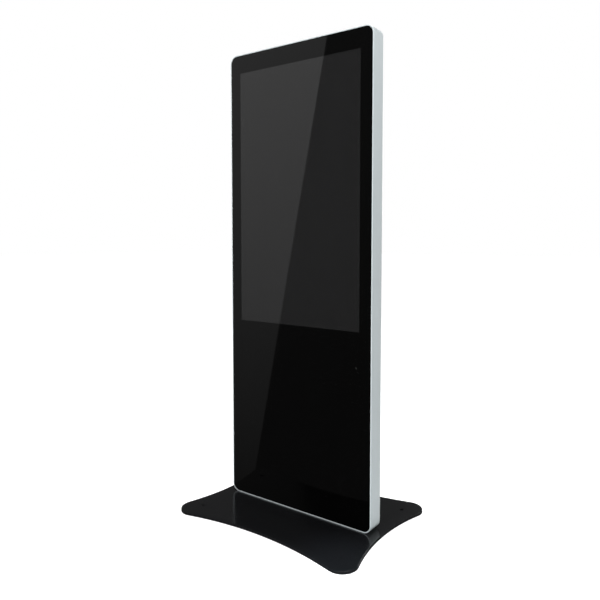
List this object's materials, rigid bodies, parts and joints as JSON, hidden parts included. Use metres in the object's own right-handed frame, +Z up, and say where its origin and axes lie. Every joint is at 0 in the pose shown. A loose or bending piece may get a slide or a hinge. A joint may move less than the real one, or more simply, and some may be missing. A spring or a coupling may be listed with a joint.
{
  "type": "touchscreen kiosk",
  "caption": "Freestanding touchscreen kiosk: slim portrait display body with flush glass front and aluminium edge, on a four-pointed steel floor plate, with a lockable rear service door.",
  "frame": {"origin": "on the floor, under the middle of the base plate", "axes": "+Z up, +X to the right seen from the front, -Y towards the viewer of the screen"},
  "size_m": [0.7536, 0.5678, 1.7126],
  "materials": {
    "black_powder_coat": "satin powder coat",
    "frame_aluminium": "satin anodised",
    "front_glass": "gloss",
    "display": "anti-glare",
    "touch_film": "clear film",
    "rubber": "matte",
    "foam": "closed-cell foam tape",
    "plated_steel": "zinc plated",
    "chrome": "polished",
    "white_plastic": "matte",
    "black_plastic": "fine texture",
    "laminate": "solder mask",
    "bare_aluminium": "extruded"
  },
  "bodies": {
    "kiosk": {"backlight_tray": "plated_steel", "base_bolt_1": "plated_steel", "base_bolt_2": "plated_steel", "base_bolt_3": "plated_steel", "base_bolt_4": "plated_steel", "base_pad_1": "rubber", "base_pad_2": "rubber", "base_pad_3": "rubber", "base_pad_4": "rubber", "base_plate": "black_powder_coat", "bottom_plate": "plated_steel", "controller_board": "laminate", "controller_heatsink": "bare_aluminium", "cover_screw_1": "plated_steel", "cover_screw_2": "plated_steel", "cover_screw_3": "plated_steel", "cover_screw_4": "plated_steel", "cover_screw_5": "plated_steel", "cover_screw_6": "plated_steel", "cross_beam_middle": "plated_steel", "cross_beam_top": "plated_steel", "data_sockets": "bare_aluminium", "diffuser_stack": "white_plastic", "display_board": "laminate", "fan_housing_1": "black_plastic", "fan_housing_2": "black_plastic", "front_glass": "front_glass", "glass_gasket": "foam", "glass_support": "plated_steel", "hinge_leaf_cover_lower": "plated_steel", "hinge_leaf_cover_upper": "plated_steel", "hinge_pin_lower": "plated_steel", "hinge_pin_upper": "plated_steel", "io_tray": "black_powder_coat", "lcd_bezel": "black_powder_coat", "lcd_cell": "display", "mains_inlet": "black_plastic", "mains_lead": "black_plastic", "panel_cable": "white_plastic", "power_supply": "bare_aluminium", "rear_cover": "black_powder_coat", "sensor": "black_plastic", "side_frame": "frame_aluminium", "speaker_left": "black_plastic", "speaker_right": "black_plastic", "switch_housing": "black_plastic", "touch_controller": "laminate", "touch_film": "touch_film", "upright_left": "plated_steel", "upright_right": "plated_steel"},
    "door": {"service_door": "black_powder_coat", "hinge_leaf_door_lower": "plated_steel", "hinge_leaf_door_upper": "plated_steel", "lock_housing": "chrome", "lock_nut": "plated_steel"},
    "lock": {"lock_plug": "chrome", "lock_cam": "plated_steel"},
    "rocker": {"switch_rocker": "black_plastic"},
    "rotor_1": {"fan_rotor_1": "black_plastic"},
    "rotor_2": {"fan_rotor_2": "black_plastic"}
  },
  "joints": [
    {"name": "door_hinge", "type": "hinge", "parent": "kiosk", "child": "door", "pos_m": [0.20425, 0.037, 0.3526], "axis": [0, 0, -1], "range_deg": [0, 110]},
    {"name": "lock_turn", "type": "hinge", "parent": "door", "child": "lock", "pos_m": [-0.175, 0.03, 0.3526], "axis": [0, 1, 0], "range_deg": [0, 90]},
    {"name": "switch_rock", "type": "hinge", "parent": "kiosk", "child": "rocker", "pos_m": [-0.055, 0.0133, 0.0876], "axis": [0, 0, 1], "range_deg": [0, 18]},
    {"name": "fan_spin_1", "type": "hinge", "parent": "kiosk", "child": "rotor_1", "pos_m": [-0.11, 0.018, 1.5326], "axis": [0, 1, 0], "continuous": true},
    {"name": "fan_spin_2", "type": "hinge", "parent": "kiosk", "child": "rotor_2", "pos_m": [0.11, 0.018, 1.5326], "axis": [0, 1, 0], "continuous": true}
  ]
}
